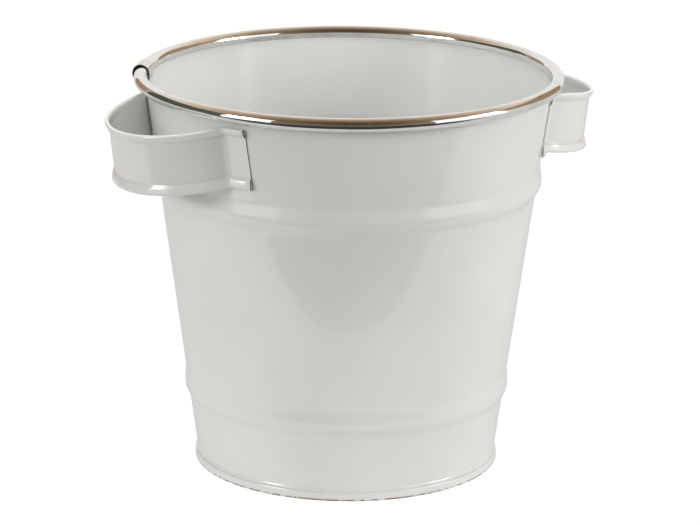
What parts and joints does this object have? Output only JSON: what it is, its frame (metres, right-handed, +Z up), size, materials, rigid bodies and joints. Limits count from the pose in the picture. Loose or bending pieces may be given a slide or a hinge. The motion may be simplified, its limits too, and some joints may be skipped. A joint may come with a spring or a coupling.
{
  "type": "florist bucket",
  "caption": "Tapered white coated sheet-metal flower bucket with raised ribs, a bright metal rim, and fixed strap loop handles on both sides.",
  "frame": {"origin": "on the bucket's axis, at the floor plane under its double-seamed foot", "axes": "+Z up along the bucket's axis; the two handles lie towards +X and -X, each four degrees round from the axis towards -Y"},
  "size_m": [0.2682, 0.22, 0.2066],
  "materials": {
    "wall_coat": "gloss white stoved coating",
    "base_coat": "gloss white stoved coating",
    "handle_coat": "gloss white stoved coating",
    "rim_chrome": "bright plated",
    "sleeve_chrome": "bright plated",
    "wire_steel": "drawn wire",
    "seam_compound": "matte"
  },
  "bodies": {
    "root": {"body_wall": "wall_coat", "base_disc": "base_coat", "seam_sealant": "seam_compound", "rim_wire": "wire_steel", "chrome_rim": "rim_chrome", "rim_sleeve": "sleeve_chrome", "handle_left": "handle_coat", "handle_right": "handle_coat"}
  },
  "joints": []
}
